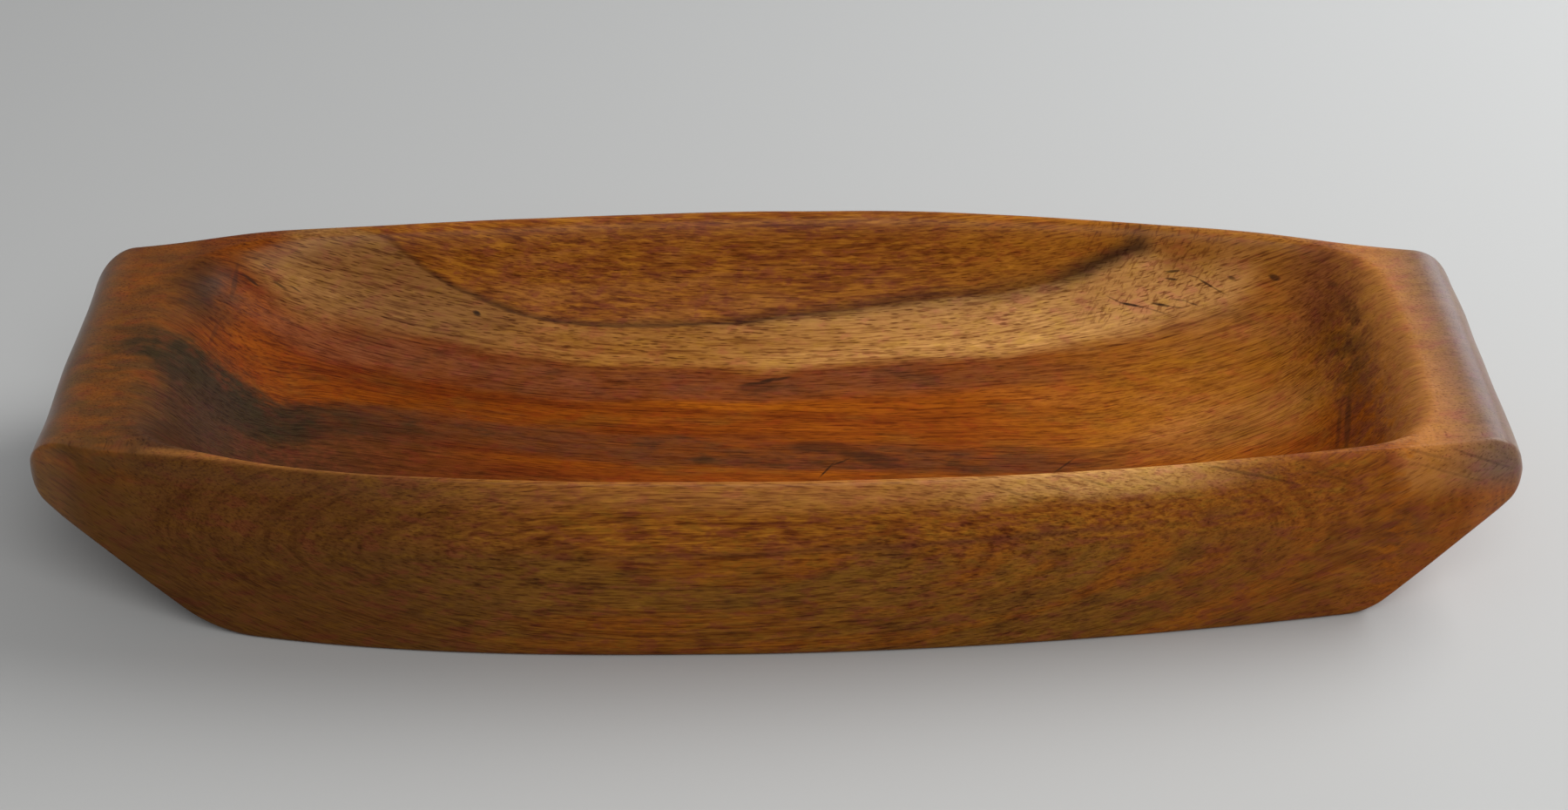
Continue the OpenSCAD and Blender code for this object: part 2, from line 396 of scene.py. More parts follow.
def laid(mark):
    """A mark's middle, its direction and its half length."""
    x_from, y_from, x_to, y_to, broad = mark[:5]
    run = math.hypot(x_to - x_from, y_to - y_from)
    toward = ((x_to - x_from) / run, (y_to - y_from) / run)
    return (x_from + x_to) / 2, (y_from + y_to) / 2, toward, run / 2 + broad


# Marks of the hand: slow waves that the gouge and the sanding left


def waves(points, length, seed, stretch=(1, 1, 1)):
    """A smooth uneven field from about -1 to 1, whose waves have about the given length."""
    chance = np.random.default_rng(seed)
    field = np.zeros(points.shape[:-1])
    count = 10
    for _ in range(count):
        direction = chance.normal(size=3)
        direction /= np.linalg.norm(direction)
        pace = 2 * math.pi / (length * chance.uniform(0.75, 1.4))
        field += np.sin((points / np.array(stretch)) @ direction * pace + chance.uniform(0, 2 * math.pi))
    return field / math.sqrt(count / 2) / 1.6


def skin_normals(points):
    """Directions that point straight out of the wood."""
    along = np.gradient(points, axis=0)
    around = np.roll(points, -1, axis=1) - np.roll(points, 1, axis=1)
    normal = np.cross(along, around)
    return normal / np.maximum(np.linalg.norm(normal, axis=-1, keepdims=True), 1e-9)


def worn(points):
    """The skin with its slow waves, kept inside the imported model's box and flat on the table."""
    normal = skin_normals(points)
    in_hollow = smooth((rim_line(points[..., 0]) - points[..., 2]) / 6) * smooth(normal[..., 2] * 4)
    gouged = waves(points, 34, 3, (2.2, 1, 1)) * 0.22 + waves(points, 13, 4, (2.5, 1, 1)) * 0.05
    sanded = waves(points, 46, 5) * 0.16 + waves(points, 16, 6) * 0.04
    lift = gouged * in_hollow - sanded
    lift *= smooth(points[..., 2] / 3)
    shaped = points + normal * lift[..., None]
    return np.clip(shaped, low_corner, high_corner)


def skin_mesh(name, points):
    """A closed mesh over rows of loops, with a flat cap at both ends."""
    rows, count = points.shape[:2]
    corner = np.arange(rows * count).reshape(rows, count)
    after = np.roll(corner, -1, axis=1)
    quads = np.stack([corner[:-1], after[:-1], after[1:], corner[1:]], axis=-1).reshape(-1, 4)
    faces = quads.tolist() + [corner[0][::-1].tolist(), corner[-1].tolist()]
    mesh = bpy.data.meshes.new(name)
    mesh.from_pydata((points.reshape(-1, 3) * MM).tolist(), [], faces)
    mesh.update()
    mesh.shade_smooth()
    return mesh


class Finish:
    """A material, with short calls for the nodes that it needs."""

    def __init__(self, name):
        self.material = bpy.data.materials.new(name)
        self.material.use_nodes = True
        self.tree = self.material.node_tree
        self.tree.nodes.clear()

    def node(self, kind, inputs=None, **settings):
        made = self.tree.nodes.new(kind)
        for key, value in settings.items():
            setattr(made, key, value)
        for key, value in (inputs or {}).items():
            self.put(made.inputs[key], value)
        return made

    def put(self, socket, value):
        if isinstance(value, bpy.types.NodeSocket):
            self.tree.links.new(value, socket)
        else:
            socket.default_value = value

    def sum(self, operation, *values, clamp=False):
        made = self.node("ShaderNodeMath", operation=operation, use_clamp=clamp)
        for socket, value in zip(made.inputs, values):
            self.put(socket, value)
        return made.outputs[0]

    def step(self, value, start, end):
        """Rises smoothly from 0 at start to 1 at end."""
        made = self.node(
            "ShaderNodeMapRange",
            {"Value": value, "From Min": start, "From Max": end},
            interpolation_type="SMOOTHSTEP",
        )
        return made.outputs[0]

    def band(self, value, middle, reach):
        """1 at the middle, falling smoothly to 0 at the reach on both sides."""
        return self.step(self.sum("ABSOLUTE", self.sum("SUBTRACT", value, middle)), reach, 0.0)

    def all_of(self, *shares):
        product = shares[0]
        for share in shares[1:]:
            product = self.sum("MULTIPLY", product, share)
        return product

    def blend(self, share, under, over, way="MIX"):
        made = self.node("ShaderNodeMix", data_type="RGBA", blend_type=way, clamp_factor=True)
        for socket, value in zip([made.inputs[0], made.inputs[6], made.inputs[7]], (share, under, over)):
            self.put(socket, value)
        return made.outputs[2]

    def mixed(self, share, under, over):
        """A number between the two, as blend gives for colours."""
        made = self.node("ShaderNodeMix", data_type="FLOAT", clamp_factor=True)
        for socket, value in zip([made.inputs[0], made.inputs[2], made.inputs[3]], (share, under, over)):
            self.put(socket, value)
        return made.outputs[0]

    def tinted(self, share, colour, tint):
        """The colour multiplied by the tint, where the share is 1."""
        return self.blend(share, colour, tint, "MULTIPLY")

    def vector(self, x, y, z):
        made = self.node("ShaderNodeCombineXYZ")
        for socket, value in zip(made.inputs, (x, y, z)):
            self.put(socket, value)
        return made.outputs[0]

    def squeezed(self, place, lengths):
        """The place with each part divided by its own length, so that a texture is stretched by them."""
        return self.vector(*[self.sum("DIVIDE", part, length) for part, length in zip(place, lengths)])

    def stretched(self, place, lengths, detail):
        """Noise with its own length along each part of the place."""
        vector = self.squeezed(place, lengths)
        inputs = {"Vector": vector, "Scale": 1.0, "Detail": detail, "Roughness": 0.6}
        return self.node("ShaderNodeTexNoise", inputs).outputs["Fac"]

    def curve(self, value, points, span, height):
        """A smooth curve through points of (place, height), for places within the span."""
        made = self.node("ShaderNodeFloatCurve")
        width = span[1] - span[0]
        rise = height[1] - height[0]
        place = self.sum("DIVIDE", self.sum("SUBTRACT", value, span[0]), width, clamp=True)
        self.put(made.inputs["Value"], place)
        line = made.mapping.curves[0]
        scaled = [((p - span[0]) / width, (h - height[0]) / rise) for p, h in points]
        line.points[0].location = scaled[0]
        line.points[-1].location = scaled[-1]
        for point in scaled[1:-1]:
            line.points.new(*point)
        made.mapping.update()
        return self.sum("MULTIPLY_ADD", made.outputs[0], rise, height[0])


# Colours of the wood, as linear red, green and blue

EMBER = (0.215, 0.040, 0.004, 1)
AMBER = (0.370, 0.092, 0.004, 1)
HONEY = (0.400, 0.140, 0.012, 1)
OLIVE = (0.220, 0.090, 0.012, 1)
PLUM = (0.128, 0.037, 0.012, 1)
MAROON = (0.200, 0.056, 0.018, 1)
TAN = (0.250, 0.112, 0.034, 1)
GOLD = (0.330, 0.125, 0.020, 1)
STRAW = (0.660, 0.330, 0.095, 1)
CHESTNUT = (0.240, 0.062, 0.007, 1)
RUSSET = (0.430, 0.160, 0.030, 1)
COPPER = (0.455, 0.175, 0.037, 1)
COCOA = (0.135, 0.055, 0.012, 1)
SMOKE = (0.050, 0.021, 0.008, 1)
# Partly a painted reflection: a greyish tone that stands in for the cool sheen on the right nose
ASH_AND_SHEEN = (0.175, 0.100, 0.062, 1)
MOSS = (0.029, 0.018, 0.007, 1)
INK = (0.026, 0.011, 0.005, 1)

# Tints that a mark or a pore multiplies the colour by
PORE = (0.36, 0.25, 0.20, 1)
THREAD = (0.50, 0.38, 0.34, 1)
CLOUD = (0.66, 0.57, 0.52, 1)
CLAY = (0.90, 0.84, 0.80, 1)
GLOW = (1.25, 1.32, 1.40, 1)
MAUVE = (0.98, 0.80, 1.10, 1)
LEAF = (1.00, 1.05, 0.80, 1)
DEEP = (0.68, 0.62, 0.60, 1)

# Where the pith lay, in front of the tray
PITH_Y = -95.0
PITH_Z = 30.0

# Lines of the growth rings that show in the hollow, as places along X and Y
SAP_LINE = [
    (-175, 56), (-142, 45), (-133, 40.5), (-127, 38.5), (-121, 37.4), (-110, 39), (-100, 39.2), (-77, 38),
    (-61, 36.2), (-43, 34.6), (-23, 35), (0, 34.4), (12, 35.6), (48, 37.6), (80, 39.6), (96, 41.4),
    (108, 42.2), (120, 42.6), (128, 45), (140, 50), (175, 60),
]
HEART_LINE = [
    (-175, 62), (-112, 53), (-99, 50.2), (-93, 48.8), (-85, 47.4), (-77, 46.1), (-62, 44.2), (-47, 43.8),
    (-32, 44.3), (-11, 45.5), (5, 47.2), (22, 48.6), (33, 49.4), (44, 50), (60, 50.2), (71, 50.3),
    (80, 50.7), (88, 51.5), (97, 51.6), (104, 48.9), (112, 47.6), (120, 46.9), (127, 45.3), (134, 42),
    (175, 30),
]
SHADE_LINE = [
    (-175, 2), (-156, 0), (-146, -3), (-135, -8), (-126, -6), (-115, 2), (-105, 7), (-92, 9.5), (-75, 9),
    (-50, 5), (0, 0), (30, -2), (50, -3), (80, -4), (100, 1), (120, 8), (140, 11), (175, 12),
]
FLOW_LINE = [
    (-175, 39), (-130, 39.5), (-100, 39), (-50, 36), (0, 35), (50, 37), (100, 40), (130, 41.5), (175, 42),
]
EDGE_LINE = [(x, float(arris(np.array(x), -1)) + 0.6) for x in range(-175, 176, 14)]
ALONG = (-175, 175)
ACROSS = (-66, 66)


class Figure:
    """Places in the wood, and the textures that its colours are drawn from."""

    def __init__(self, wood):
        coordinates = wood.node("ShaderNodeTexCoord").outputs
        scaled = {0: coordinates["Object"], "Scale": 1 / MM}
        place = wood.node("ShaderNodeVectorMath", scaled, operation="SCALE").outputs[0]
        x, y, z = wood.node("ShaderNodeSeparateXYZ", {0: place}).outputs
        self.x, self.y, self.z = x, y, z

        # How much longer the way across the surface is than its run along Y, and where the far side faces out
        facing = wood.node("ShaderNodeSeparateXYZ", {0: coordinates["Normal"]}).outputs
        self.steep = wood.sum("DIVIDE", 1.0, wood.sum("MAXIMUM", facing[2], 0.22))
        self.far_side = wood.all_of(wood.step(facing[1], 0.35, 0.75), wood.step(z, 49, 43))

        # How far along and how far up a place lies, with a ragged edge
        ragged = wood.sum("MULTIPLY_ADD", wood.stretched((x, y, z), (22, 4, 4), 4), 14.0, -7.0)
        self.ragged = ragged
        self.rough_x = wood.sum("ADD", x, ragged)
        self.rough_y = wood.sum("ADD", y, ragged)

        # Distances across from the three lines in the hollow
        shade_line = wood.curve(x, SHADE_LINE, ALONG, ACROSS)
        sap_line = wood.curve(x, SAP_LINE, ALONG, ACROSS)
        heart_line = wood.curve(x, HEART_LINE, ALONG, ACROSS)
        self.from_shade = wood.sum("ADD", wood.sum("SUBTRACT", y, shade_line), ragged)
        self.from_sap = wood.sum("MULTIPLY_ADD", ragged, 0.35, wood.sum("SUBTRACT", y, sap_line))
        beyond_heart = wood.all_of(wood.sum("SUBTRACT", y, heart_line), self.steep)
        self.from_heart = wood.sum("MULTIPLY_ADD", ragged, 0.16, beyond_heart)

        # Growth rings round the pith: in the hollow they run beside those lines, on the near side they arch
        lean = wood.sum("SUBTRACT", wood.curve(x, FLOW_LINE, ALONG, ACROSS), 37.0)
        lean = wood.mixed(wood.step(y, 34, 8), lean, wood.sum("MULTIPLY_ADD", shade_line, 0.7, -3.0))
        inward = wood.sum("DIVIDE", wood.sum("ADD", x, 20.0), 37.0)
        arch = wood.sum("MULTIPLY", wood.sum("MULTIPLY", inward, inward), -1.0)
        lean = wood.mixed(wood.step(y, -41, -55), lean, arch)
        across = wood.sum("SUBTRACT", y, PITH_Y)
        height = wood.sum("SUBTRACT", z, PITH_Z)
        squares = wood.sum("ADD", wood.sum("MULTIPLY", across, across), wood.sum("MULTIPLY", height, height))
        ring = wood.sum("SUBTRACT", wood.sum("ADD", wood.sum("SQRT", squares), PITH_Y), lean)
        self.ring = ring

        # The grain falls from the left end to the middle, and rises again to the right end
        end_run = wood.sum("MAXIMUM", wood.sum("SUBTRACT", wood.sum("ABSOLUTE", x), 55.0), 0.0)
        dip = wood.sum("MULTIPLY_ADD", wood.sum("MULTIPLY", end_run, end_run), -0.0028, z)
        self.dip = dip

        # From broad streaks to single fibres
        self.broad = wood.stretched((x, ring, z), (90, 5, 40), 4)
        self.rings = wood.stretched((x, ring, z), (110, 1.3, 24), 3)
        self.threads = wood.stretched((x, ring, dip), (16, 0.55, 1.1), 3)
        self.fleck = wood.stretched((x, ring, dip), (7.5, 1.0, 1.3), 3)
        self.fibre = wood.stretched((x, ring, dip), (6, 0.34, 0.42), 2)
        self.mottle = wood.stretched((x, y, z), (10, 4.5, 4.5), 4)
        self.tone = wood.stretched((x, y, z), (5.5, 4, 2.6), 4)
        self.hue = wood.stretched((y, x, z), (9, 26, 8), 3)
        self.cloud = wood.stretched((x, y, z), (60, 22, 22), 3)
        self.smoke = wood.stretched((y, x, z), (6, 14, 7), 4)


def heartwood(wood, figure):
    """The red-brown wood of the floor, both ends and the base."""
    x = figure.x
    colour = wood.blend(wood.step(figure.broad, 0.26, 0.74), EMBER, AMBER)
    golden = wood.all_of(wood.step(figure.rough_x, 45, 110), wood.step(figure.rough_y, -14, 6), 0.9)
    colour = wood.blend(golden, colour, wood.blend(wood.step(figure.cloud, 0.36, 0.62), HONEY, RUSSET))
    colour = wood.blend(wood.all_of(wood.step(figure.hue, 0.50, 0.70), 0.4), colour, OLIVE)
    colour = wood.tinted(wood.step(x, -5, -85), colour, DEEP)
    return wood.tinted(wood.all_of(wood.step(figure.rings, 0.50, 0.68), 0.35), colour, THREAD)


def shaded_bands(wood, figure, colour):
    """Two purple-brown bands along the floor, clouded and uneven."""
    x = figure.x
    uneven = wood.sum("MULTIPLY_ADD", wood.step(figure.mottle, 0.32, 0.62), 0.4, 0.6)
    off_shade = wood.sum("ABSOLUTE", figure.from_shade)
    off_sap = wood.sum("ABSOLUTE", wood.sum("ADD", figure.from_sap, 5.5))
    near_band = wood.all_of(wood.step(off_shade, 10.0, 2.0), wood.step(x, 104, 62), uneven, 0.95)
    far_band = wood.all_of(
        wood.step(off_sap, 8.0, 2.0), wood.step(x, 105, 30), wood.step(x, -140, -112), uneven, 0.95
    )
    colour = wood.blend(near_band, colour, PLUM)
    colour = wood.blend(far_band, colour, MAROON)
    below = wood.all_of(wood.step(figure.from_shade, 3, -8), wood.step(x, -50, -120), 0.8)
    clouded = wood.all_of(wood.step(figure.tone, 0.40, 0.64), 0.65)
    colour = wood.blend(below, colour, wood.blend(clouded, SMOKE, PLUM))
    left_part = wood.all_of(wood.step(off_shade, 12.0, 3.0), wood.step(x, -78, -122), uneven, 0.85)
    colour = wood.blend(left_part, colour, MOSS)
    tail = wood.all_of(wood.band(figure.from_shade, 1.0, 4.0), wood.band(x, 94, 34), 0.55)
    colour = wood.blend(tail, colour, CHESTNUT)
    banded = wood.sum("MAXIMUM", near_band, wood.all_of(far_band, 0.6))
    smoke = wood.all_of(wood.step(figure.smoke, 0.50, 0.70), banded)
    return wood.blend(wood.all_of(smoke, 0.7), colour, MOSS)


def sapwood(wood, figure, colour):
    """The golden band beside the far wall, and the reddish patch beyond the dark line."""
    x = figure.x
    ends = wood.all_of(wood.step(figure.rough_x, -143, -136), wood.step(figure.rough_x, 134, 116))
    soft = wood.sum("MULTIPLY_ADD", wood.step(x, -85, -125), 2.5, 1.7)
    soft = wood.sum("MULTIPLY_ADD", wood.step(x, 50, 105), 1.6, soft)
    band = wood.all_of(wood.step(figure.from_sap, wood.sum("MULTIPLY", soft, -1.0), soft), ends)
    light = wood.all_of(wood.step(x, -40, 80), 0.85)
    light = wood.sum("ADD", light, wood.all_of(wood.step(figure.broad, 0.3, 0.7), 0.3))
    light = wood.sum("ADD", light, wood.all_of(wood.step(x, -112, -130), 0.2))
    gold = wood.blend(light, GOLD, STRAW)
    gold = wood.blend(wood.all_of(wood.step(x, -50, -90), 0.6), gold, TAN)
    under_rim = wood.step(wood.sum("MULTIPLY_ADD", figure.ragged, 0.5, figure.z), 51, 46)
    colour = wood.blend(wood.all_of(band, wood.mixed(wood.step(x, -118, -132), 1.0, under_rim)), colour, gold)

    blurred = wood.sum("MULTIPLY_ADD", wood.step(x, 90, 104), 5.0, 0.7)
    patch = wood.step(figure.from_heart, wood.sum("MULTIPLY", blurred, -1.0), blurred)
    patch = wood.all_of(patch, wood.step(figure.rough_x, -150, -130))
    patch = wood.sum("MAXIMUM", patch, wood.all_of(figure.far_side, wood.step(figure.rough_x, -160, -140)))
    streaks = wood.sum("ADD", figure.fleck, wood.all_of(wood.step(x, 30, 70), 0.16))
    patch_colour = wood.blend(wood.step(streaks, 0.36, 0.66), CHESTNUT, HONEY)
    reddish = wood.all_of(wood.step(figure.hue, 0.46, 0.66), wood.step(x, 50, 15), 0.6)
    patch_colour = wood.blend(reddish, patch_colour, RUSSET)
    purple = wood.all_of(wood.step(figure.tone, 0.50, 0.64), wood.step(x, 60, 20), 0.45)
    patch_colour = wood.blend(purple, patch_colour, MAROON)
    golden_end = wood.all_of(wood.step(x, 88, 104), wood.mixed(figure.far_side, 0.7, 0.0))
    patch_colour = wood.blend(golden_end, patch_colour, GOLD)
    colour = wood.blend(patch, colour, patch_colour)

    # The dark line: a haze that broadens to the right, and a crisp line in its left half
    haze_reach = wood.sum("MULTIPLY_ADD", wood.step(x, -60, 95), 4.0, 1.5)
    haze_reach = wood.all_of(haze_reach, wood.sum("MULTIPLY_ADD", figure.mottle, 1.4, 0.3))
    haze = wood.all_of(
        wood.band(figure.from_heart, 0.6, haze_reach), wood.step(x, 101, 95), wood.step(x, -112, -98)
    )
    dark_end = wood.sum("MULTIPLY_ADD", wood.step(x, 68, 84), 0.4, 0.5)
    colour = wood.blend(wood.all_of(haze, dark_end), colour, SMOKE)
    crisp = wood.all_of(
        wood.band(figure.from_heart, 0.0, 0.75), wood.step(x, 40, -5), wood.step(x, -96, -84), 0.45
    )
    return wood.blend(crisp, colour, INK)


def near_side(wood, figure, colour):
    """The near side: redder above its crease, browner and darker below it, partly as painted shade, with a
    painted dark line at the crease, a painted highlight on its inner edge and a paler streak along its rim
    that is partly painted highlight.
    """
    x, y, z = figure.x, figure.y, figure.z
    side = wood.step(y, -43, -52)
    rough_z = wood.sum("MULTIPLY_ADD", figure.ragged, 0.4, z)
    upper = wood.blend(wood.step(figure.fleck, 0.34, 0.66), CHESTNUT, HONEY)
    lower = wood.blend(wood.step(figure.mottle, 0.24, 0.60), COCOA, OLIVE)
    lower = wood.blend(wood.all_of(wood.step(figure.broad, 0.46, 0.64), 0.6), lower, AMBER)
    # Below the crease the wood is browner and darker: partly its own tone, partly painted shade on the lower
    # face, which tucks under and faces down
    brown = wood.blend(wood.all_of(wood.step(rough_z, 35, 29), 0.85), upper, lower)
    brown = wood.blend(wood.all_of(wood.step(x, -25, -100), 0.85), brown, COCOA)
    brown = wood.blend(wood.all_of(wood.step(x, 80, 120), 0.5), brown, CHESTNUT)
    brown = wood.tinted(wood.all_of(wood.step(figure.rings, 0.50, 0.66), 0.45), brown, THREAD)
    spotted = wood.mixed(wood.step(x, -50, -110), 0.45, 0.25)
    brown = wood.blend(wood.all_of(wood.step(figure.tone, 0.50, 0.62), spotted), brown, MAROON)
    brown = wood.blend(wood.all_of(wood.step(figure.tone, 0.45, 0.34), spotted), brown, OLIVE)
    brown = wood.blend(wood.all_of(wood.step(figure.smoke, 0.56, 0.70), 0.4), brown, COCOA)
    brown = wood.tinted(wood.step(x, -60, -110), brown, CLAY)
    colour = wood.blend(side, colour, brown)
    # Painted shade: a darker line along the crease of the side
    crease_height = wood.sum("MULTIPLY_ADD", x, 0.03, 32.0)
    off_crease = wood.sum("SUBTRACT", wood.sum("MULTIPLY_ADD", figure.ragged, 0.15, z), crease_height)
    crease = wood.all_of(
        side, wood.band(off_crease, 0.0, 1.6), wood.step(x, -70, -20), wood.step(x, 105, 70), 0.6
    )
    colour = wood.blend(crease, colour, PLUM)
    # Painted highlight: a lighter line along the inner edge of the near rim, left of the middle, where light
    # catches the arris
    edge_line = wood.curve(x, EDGE_LINE, ALONG, ACROSS)
    edge = wood.all_of(
        wood.band(y, edge_line, 2.4), wood.step(z, 40, 46), wood.step(x, -20, -60), wood.step(x, -152, -140)
    )
    colour = wood.blend(wood.all_of(edge, 0.7), colour, RUSSET)
    # A paler streak along the near rim: partly the wood's own pale colour, partly a painted highlight on the
    # rounding of the rim, where light falls
    rim_end = wood.all_of(wood.step(y, -47.5, -45.5), wood.step(x, 160, 120))
    pale_rim_and_highlight = wood.all_of(
        wood.step(wood.sum("MULTIPLY_ADD", figure.ragged, 0.5, z), 40, 47),
        wood.step(y, -30, -38),
        wood.step(x, -110, 30),
        wood.sum("MAXIMUM", wood.step(figure.rough_x, 120, 82), rim_end),
        0.9,
    )
    return wood.blend(pale_rim_and_highlight, colour, wood.blend(wood.step(x, 20, 75), COPPER, STRAW))


def worn_ends(wood, figure, colour):
    """Both end lands, with painted light on the right wall's roll and a partly painted reflection at the right
    nose, the dark stains on the end walls of the hollow, and painted shade in the far-left corner.
    """
    x, y, z = figure.x, figure.y, figure.z
    left_land = wood.all_of(wood.step(figure.rough_x, -140, -154), 0.7)
    colour = wood.blend(left_land, colour, COCOA)
    olive_edge = wood.all_of(wood.step(x, -164, -170), 0.5)
    colour = wood.blend(olive_edge, colour, OLIVE)
    # The right land's paler colour, carried down over the roll of the wall: there it is painted light,
    # lightening the shade on the roll. Towards the nose it turns greyish, partly a painted reflection of the
    # cool sheen.
    right_land_and_lit_roll = wood.all_of(wood.step(x, 141, 148), wood.step(z, 32, 41), 0.9)
    colour = wood.blend(right_land_and_lit_roll, colour, wood.blend(wood.step(x, 150, 170), COPPER, ASH_AND_SHEEN))
    glowing = wood.all_of(wood.step(figure.smoke, 0.38, 0.70), wood.step(x, -144, -152), wood.step(z, 38, 46))
    colour = wood.blend(wood.all_of(glowing, 0.4), colour, AMBER)

    # The left stain starts on the land, is darkest at the foot of the wall, and joins the near band; the
    # far-left corner also gets painted shade
    off_x = wood.sum("DIVIDE", wood.sum("ADD", figure.rough_x, 138.0), 28.0)
    slanted = wood.sum("MULTIPLY_ADD", wood.sum("ADD", x, 138.0), 0.28, wood.sum("ADD", figure.rough_y, 5.0))
    off_y = wood.sum("DIVIDE", slanted, 15.0)
    squares = wood.sum("ADD", wood.sum("MULTIPLY", off_x, off_x), wood.sum("MULTIPLY", off_y, off_y))
    off = wood.sum("SQRT", squares)
    patchy = wood.sum("MULTIPLY_ADD", wood.step(figure.tone, 0.66, 0.40), 0.4, 0.5)
    left_stain = wood.all_of(wood.step(off, 1.15, 0.45), wood.step(figure.from_shade, -16, -6), patchy)
    colour = wood.blend(left_stain, colour, MOSS)
    tail = wood.all_of(
        wood.band(figure.rough_x, -139, 20), wood.step(y, 0, -14), wood.step(y, -60, -34), 0.85
    )
    colour = wood.blend(tail, colour, SMOKE)
    # Painted shade, over a dark patch in the wood: the far-left corner of the hollow is darkened where it lies
    # in shadow
    corner = wood.all_of(wood.band(figure.rough_x, -145, 13), wood.band(figure.rough_y, 29, 22), 0.95)
    colour = wood.blend(corner, colour, SMOKE)

    # The right stain: red-brown in the far corner, dark olive under it
    off_stain = wood.sum("SUBTRACT", wood.sum("MULTIPLY_ADD", figure.ragged, 0.5, x), 143.5)
    off_stain = wood.sum("ABSOLUTE", off_stain)
    stain = wood.all_of(wood.step(off_stain, 8, 3), wood.step(y, 46, 38), wood.step(y, -38, -26))
    patched = wood.sum("MULTIPLY_ADD", wood.step(figure.tone, 0.40, 0.62), 0.5, 0.12)
    colour = wood.blend(wood.all_of(stain, patched), colour, MAROON)
    far_corner = wood.all_of(
        wood.band(figure.rough_x, 141, 13), wood.step(y, 20, 32), wood.step(y, 51, 43), 0.75
    )
    colour = wood.blend(far_corner, colour, MAROON)
    embers = wood.all_of(wood.band(x, 145, 8), wood.step(figure.tone, 0.52, 0.38), wood.step(y, 12, 2), 0.6)
    colour = wood.blend(embers, colour, AMBER)
    darkest = wood.all_of(
        wood.step(off_stain, 7, 1), wood.band(figure.rough_y, 10, 30), wood.step(figure.smoke, 0.38, 0.6)
    )
    return wood.blend(wood.all_of(darkest, 0.6), colour, MOSS)


def one_mark(wood, mark, place, stretch):
    """The share of one mark, given the place along its two directions."""
    first, second, toward, long = laid(mark)
    off_first = wood.sum("SUBTRACT", place[0], first)
    off_second = wood.sum("SUBTRACT", place[1], second)
    along = wood.sum("MULTIPLY", off_first, toward[0] / long)
    along = wood.sum("MULTIPLY_ADD", off_second, toward[1] / long, along)
    aside = wood.sum("MULTIPLY", off_second, toward[0] / mark[4])
    aside = wood.sum("MULTIPLY_ADD", off_first, -toward[1] / mark[4], aside)
    aside = wood.all_of(aside, stretch)
    off = wood.sum("ADD", wood.sum("MULTIPLY", along, along), wood.sum("MULTIPLY", aside, aside))
    return wood.all_of(wood.step(off, 2.2, 0.2), mark[-1])


def small_marks(wood, figure, colour):
    """The pin hole, cracks, tear-outs and smudges in the hollow, and the strokes on the near rim."""
    above = wood.all_of(
        wood.step(figure.z, FLOOR_THICK - 1.5, FLOOR_THICK - 1), wood.step(figure.y, -45, -43)
    )
    near = wood.step(figure.y, -41, -44)
    uneven = wood.sum("MULTIPLY_ADD", figure.fleck, 1.2, 0.3)
    dark = 0.0
    for mark in MARKS:
        share = one_mark(wood, mark, (figure.x, figure.y), figure.steep)
        dark = wood.sum("MAXIMUM", dark, wood.all_of(share, above))
    for mark in STROKES:
        share = one_mark(wood, mark, (figure.x, figure.z), 1.0)
        dark = wood.sum("MAXIMUM", dark, wood.all_of(share, near))
    return wood.blend(wood.all_of(dark, uneven), colour, INK)


def pores_and_fibres(wood, figure, colour):
    """The colour with its hues, clouds, threads, fibres and open pores, and how deep the pores are."""
    x, y, z = figure.x, figure.y, figure.z
    lined = wood.sum("MULTIPLY_ADD", wood.step(wood.sum("ABSOLUTE", x), 142, 152), -0.5, 1.0)
    turned = wood.all_of(wood.step(x, 72, 88), wood.step(x, 124, 112), wood.step(y, 41.5, 44.5))
    turned = wood.all_of(turned, wood.mixed(figure.far_side, 1.0, 0.0))
    lined = wood.all_of(lined, wood.sum("MULTIPLY_ADD", turned, -0.6, 1.0))
    arched = wood.all_of(wood.step(y, -43, -50), wood.step(wood.sum("ABSOLUTE", x), 60, 100))
    lined = wood.all_of(lined, wood.sum("MULTIPLY_ADD", arched, -0.35, 1.0))
    colour = wood.tinted(wood.all_of(wood.step(figure.tone, 0.52, 0.66), 0.8), colour, MAUVE)
    colour = wood.tinted(wood.all_of(wood.step(figure.tone, 0.48, 0.34), 0.8), colour, LEAF)
    colour = wood.tinted(wood.all_of(wood.step(figure.mottle, 0.48, 0.30), 0.5), colour, CLOUD)
    colour = wood.tinted(wood.all_of(wood.step(figure.mottle, 0.54, 0.70), 0.5), colour, GLOW)
    colour = wood.tinted(wood.all_of(wood.step(figure.threads, 0.52, 0.66), lined, 0.8), colour, THREAD)
    colour = wood.tinted(wood.all_of(wood.step(figure.threads, 0.46, 0.32), lined, 0.5), colour, GLOW)
    colour = wood.tinted(wood.all_of(wood.step(figure.fibre, 0.50, 0.66), lined, 0.65), colour, THREAD)
    colour = wood.tinted(wood.all_of(wood.step(figure.fibre, 0.46, 0.30), lined, 0.6), colour, GLOW)

    # Ripples that stand across the grain beside the tear-outs
    leaning = wood.sum("MULTIPLY_ADD", x, 0.8, wood.sum("MULTIPLY", z, -0.6))
    running = wood.sum("MULTIPLY_ADD", x, 0.6, wood.sum("MULTIPLY", z, 0.8))
    ripple = wood.stretched((leaning, y, running), (0.75, 4, 2.2), 2)
    colour = wood.tinted(wood.all_of(wood.step(ripple, 0.50, 0.66), turned, 0.75), colour, THREAD)

    dash_place = wood.squeezed((x, figure.ring, figure.dip), (4.4, 0.5, 0.7))
    dashes = wood.node("ShaderNodeTexVoronoi", {"Vector": dash_place, "Scale": 1.0}).outputs["Distance"]
    pore = wood.step(dashes, 0.36, 0.16)
    crowd = wood.step(figure.cloud, 0.30, 0.60)
    light_wood = wood.all_of(wood.step(figure.from_sap, -2, 2), wood.step(figure.from_heart, 2, -2), 0.3)
    share = wood.sum("ADD", wood.sum("MULTIPLY_ADD", crowd, 0.2, 0.3), light_wood)
    return wood.tinted(wood.all_of(pore, share), colour, PORE), pore


